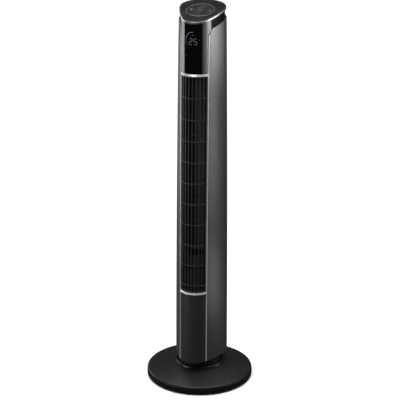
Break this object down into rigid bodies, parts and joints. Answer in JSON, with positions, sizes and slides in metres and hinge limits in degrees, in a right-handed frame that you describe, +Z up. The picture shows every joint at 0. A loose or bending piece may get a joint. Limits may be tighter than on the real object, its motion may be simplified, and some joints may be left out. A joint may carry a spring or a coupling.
{
  "type": "tower fan",
  "caption": "Tall tower fan with a tapering housing, a front grille over a cross-flow impeller, a sloping control cap, and a round base that it swings on.",
  "frame": {"origin": "on the floor, at the middle of the round base, under the swing axis", "axes": "+Z up along the swing axis, the front and its grille towards -Y, +X to the right of someone facing the front"},
  "size_m": [0.3, 0.3, 1.0738],
  "materials": {
    "black_plastic": "fine moulded texture",
    "gloss_black": "polished black",
    "grey_paint": "satin metallic grey paint on plastic",
    "silver_trim": "bright silver plating on plastic",
    "inner_plastic": "plain dark moulding",
    "steel": "zinc plated",
    "lit_figures": "lit figures behind a black window",
    "cast_weight": "as cast",
    "rubber": "matt rubber",
    "circuit_board": "green solder mask",
    "nylon": "natural nylon"
  },
  "bodies": {
    "base": {"base_cover": "black_plastic", "base_collar": "gloss_black", "base_weight": "cast_weight", "base_plate": "black_plastic", "rubber_foot_1": "rubber", "rubber_foot_2": "rubber", "rubber_foot_3": "rubber", "rubber_foot_4": "rubber", "rubber_foot_5": "rubber", "base_screw_1": "steel", "base_screw_2": "steel", "base_screw_3": "steel", "swing_sector": "nylon", "thrust_ring": "nylon"},
    "tower": {"tower_floor": "black_plastic", "rear_housing": "black_plastic", "front_grille": "black_plastic", "rear_grille": "black_plastic", "lower_front_panel": "black_plastic", "neck": "black_plastic", "shoulder_ledge": "black_plastic", "display_lens": "gloss_black", "top_cap": "gloss_black", "side_panel_right": "grey_paint", "side_panel_left": "grey_paint", "head_shell": "grey_paint", "trim_strip_right": "silver_trim", "trim_strip_left": "silver_trim", "upper_trim": "silver_trim", "lower_trim": "silver_trim", "cap_band": "silver_trim", "control_ring": "silver_trim", "spindle": "inner_plastic", "spindle_nut": "inner_plastic", "motor_plate": "inner_plastic", "bearing_plate": "inner_plastic", "motor_cover": "inner_plastic", "air_guide": "inner_plastic", "air_cutoff": "inner_plastic", "swing_motor": "steel", "motor_can": "steel", "rear_screw_right_1": "steel", "rear_screw_left_1": "steel", "rear_screw_right_2": "steel", "rear_screw_left_2": "steel", "led_display": "lit_figures", "key_mat": "rubber", "bearing_bush": "rubber", "cord_gland": "rubber", "display_board": "circuit_board", "control_board": "circuit_board", "power_board": "circuit_board"},
    "pinion": {"swing_pinion": "nylon"},
    "rotor": {"impeller": "inner_plastic", "motor_rotor": "steel"},
    "key_power": {"key_power": "gloss_black"},
    "key_timer": {"key_timer": "gloss_black"},
    "key_speed": {"key_speed": "gloss_black"},
    "key_swing": {"key_swing": "gloss_black"},
    "key_mode": {"key_mode": "gloss_black"}
  },
  "joints": [
    {"name": "tower_swing", "type": "hinge", "parent": "base", "child": "tower", "pos_m": [0, 0, 0.05], "axis": [0, 0, 1], "range_deg": [-37.5, 37.5]},
    {"name": "pinion_spin", "type": "hinge", "parent": "tower", "child": "pinion", "pos_m": [0, 0.045, 0.044], "axis": [0, 0, 1], "range_deg": [-155, 155]},
    {"name": "rotor_spin", "type": "hinge", "parent": "tower", "child": "rotor", "pos_m": [0, 0.008, 0.6], "axis": [0, 0, 1], "continuous": true},
    {"name": "key_power_press", "type": "slide", "parent": "tower", "child": "key_power", "axis": [0, 0.2453, -0.9694], "range_m": [0, 0.0008], "stiffness_N_per_m": 600, "springref_m": -0.0006},
    {"name": "key_timer_press", "type": "slide", "parent": "tower", "child": "key_timer", "axis": [0, 0.2453, -0.9694], "range_m": [0, 0.0008], "stiffness_N_per_m": 600, "springref_m": -0.0006},
    {"name": "key_speed_press", "type": "slide", "parent": "tower", "child": "key_speed", "axis": [0, 0.2453, -0.9694], "range_m": [0, 0.0008], "stiffness_N_per_m": 600, "springref_m": -0.0006},
    {"name": "key_swing_press", "type": "slide", "parent": "tower", "child": "key_swing", "axis": [0, 0.2453, -0.9694], "range_m": [0, 0.0008], "stiffness_N_per_m": 600, "springref_m": -0.0006},
    {"name": "key_mode_press", "type": "slide", "parent": "tower", "child": "key_mode", "axis": [0, 0.2453, -0.9694], "range_m": [0, 0.0008], "stiffness_N_per_m": 600, "springref_m": -0.0006}
  ],
  "couplings": [
    {"joint": "pinion_spin", "follows": "tower_swing", "ratio": 4}
  ]
}
